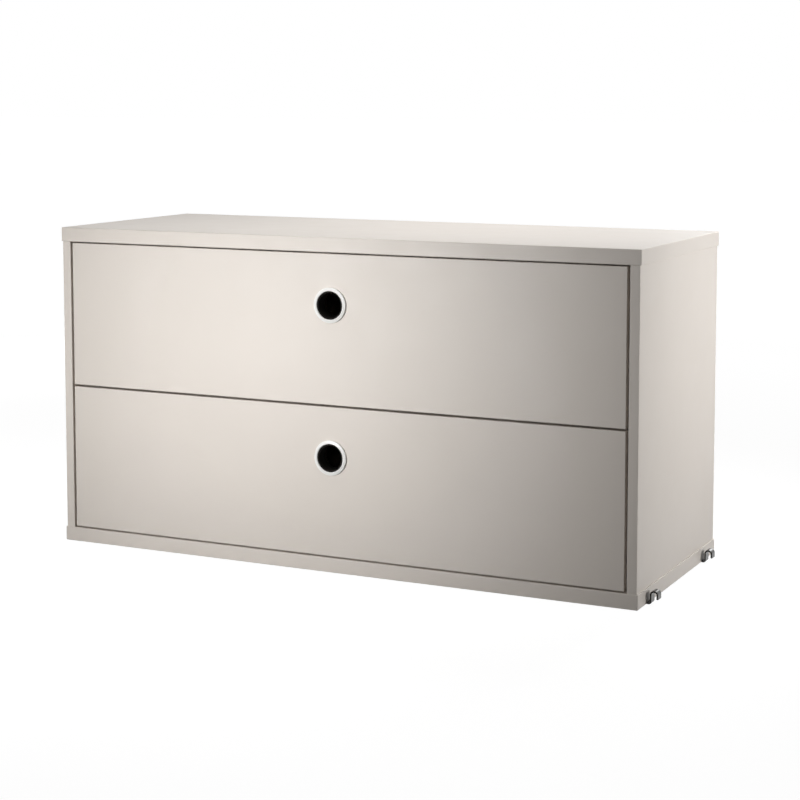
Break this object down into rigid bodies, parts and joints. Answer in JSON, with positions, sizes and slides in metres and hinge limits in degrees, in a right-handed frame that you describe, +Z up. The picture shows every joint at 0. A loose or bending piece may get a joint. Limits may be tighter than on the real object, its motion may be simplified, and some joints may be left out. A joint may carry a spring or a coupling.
{
  "type": "drawer cabinet",
  "caption": "Low rectangular cabinet with full-width inset drawers on ball-bearing runners, round finger pulls, and bent steel hooks at its ends to hang it on rungs.",
  "frame": {"origin": "middle of the cabinet's flat underside, halfway along the bottom panel and halfway between its front and back edges", "axes": "+X to the right as seen from the front, +Y to the back, +Z up; the drawers open along -Y"},
  "size_m": [0.807, 0.3023, 0.408],
  "materials": {
    "lacquer": "satin warm grey lacquer on fibreboard",
    "drawer_board": "satin warm grey lacquer on fibreboard",
    "drawer_bottom": "matt warm grey laminate on hardboard",
    "beech": "raw beech",
    "ring_plastic": "glossy white",
    "sleeve_plastic": "matt black",
    "hook_steel": "bright plated steel strip",
    "rail_steel": "zinc plated",
    "cage_steel": "zinc plated sheet",
    "ball_steel": "polished",
    "screw_steel": "bright zinc",
    "bumper_rubber": "matt black"
  },
  "bodies": {
    "cabinet": {"top_panel": "lacquer", "bottom_panel": "lacquer", "left_side_panel": "lacquer", "right_side_panel": "lacquer", "back_panel": "lacquer", "carcass_dowels": "beech", "front_left_hook": "hook_steel", "front_right_hook": "hook_steel", "rear_left_hook": "hook_steel", "rear_right_hook": "hook_steel", "hook_screws": "screw_steel", "lower_left_cabinet_rail": "rail_steel", "lower_right_cabinet_rail": "rail_steel", "upper_left_cabinet_rail": "rail_steel", "upper_right_cabinet_rail": "rail_steel", "cabinet_rail_screws": "screw_steel", "runner_bumpers": "bumper_rubber"},
    "lower_drawer": {"lower_drawer_front": "lacquer", "lower_drawer_left_side": "drawer_board", "lower_drawer_right_side": "drawer_board", "lower_drawer_back": "drawer_board", "lower_drawer_bottom": "drawer_bottom", "lower_drawer_dowels": "beech", "lower_finger_ring": "ring_plastic", "lower_finger_sleeve": "sleeve_plastic", "lower_left_drawer_rail": "rail_steel", "lower_right_drawer_rail": "rail_steel", "lower_drawer_rail_screws": "screw_steel"},
    "lower_middle_rails": {"lower_left_middle_rail": "rail_steel", "lower_right_middle_rail": "rail_steel"},
    "lower_outer_cages": {"lower_left_outer_cage": "cage_steel", "lower_right_outer_cage": "cage_steel", "lower_outer_balls": "ball_steel"},
    "lower_inner_cages": {"lower_left_inner_cage": "cage_steel", "lower_right_inner_cage": "cage_steel", "lower_inner_balls": "ball_steel"},
    "upper_drawer": {"upper_drawer_front": "lacquer", "upper_drawer_left_side": "drawer_board", "upper_drawer_right_side": "drawer_board", "upper_drawer_back": "drawer_board", "upper_drawer_bottom": "drawer_bottom", "upper_drawer_dowels": "beech", "upper_finger_ring": "ring_plastic", "upper_finger_sleeve": "sleeve_plastic", "upper_left_drawer_rail": "rail_steel", "upper_right_drawer_rail": "rail_steel", "upper_drawer_rail_screws": "screw_steel"},
    "upper_middle_rails": {"upper_left_middle_rail": "rail_steel", "upper_right_middle_rail": "rail_steel"},
    "upper_outer_cages": {"upper_left_outer_cage": "cage_steel", "upper_right_outer_cage": "cage_steel", "upper_outer_balls": "ball_steel"},
    "upper_inner_cages": {"upper_left_inner_cage": "cage_steel", "upper_right_inner_cage": "cage_steel", "upper_inner_balls": "ball_steel"}
  },
  "joints": [
    {"name": "lower_drawer_slide", "type": "slide", "parent": "cabinet", "child": "lower_drawer", "axis": [0, -1, 0], "range_m": [0, 0.25]},
    {"name": "lower_middle_rails_slide", "type": "slide", "parent": "cabinet", "child": "lower_middle_rails", "axis": [0, -1, 0], "range_m": [0, 0.125]},
    {"name": "lower_outer_cages_slide", "type": "slide", "parent": "cabinet", "child": "lower_outer_cages", "axis": [0, -1, 0], "range_m": [0, 0.0625]},
    {"name": "lower_inner_cages_slide", "type": "slide", "parent": "cabinet", "child": "lower_inner_cages", "axis": [0, -1, 0], "range_m": [0, 0.1875]},
    {"name": "upper_drawer_slide", "type": "slide", "parent": "cabinet", "child": "upper_drawer", "axis": [0, -1, 0], "range_m": [0, 0.25]},
    {"name": "upper_middle_rails_slide", "type": "slide", "parent": "cabinet", "child": "upper_middle_rails", "axis": [0, -1, 0], "range_m": [0, 0.125]},
    {"name": "upper_outer_cages_slide", "type": "slide", "parent": "cabinet", "child": "upper_outer_cages", "axis": [0, -1, 0], "range_m": [0, 0.0625]},
    {"name": "upper_inner_cages_slide", "type": "slide", "parent": "cabinet", "child": "upper_inner_cages", "axis": [0, -1, 0], "range_m": [0, 0.1875]}
  ],
  "couplings": [
    {"joint": "lower_middle_rails_slide", "follows": "lower_drawer_slide", "ratio": 0.5},
    {"joint": "lower_outer_cages_slide", "follows": "lower_drawer_slide", "ratio": 0.25},
    {"joint": "lower_inner_cages_slide", "follows": "lower_drawer_slide", "ratio": 0.75},
    {"joint": "upper_middle_rails_slide", "follows": "upper_drawer_slide", "ratio": 0.5},
    {"joint": "upper_outer_cages_slide", "follows": "upper_drawer_slide", "ratio": 0.25},
    {"joint": "upper_inner_cages_slide", "follows": "upper_drawer_slide", "ratio": 0.75}
  ]
}
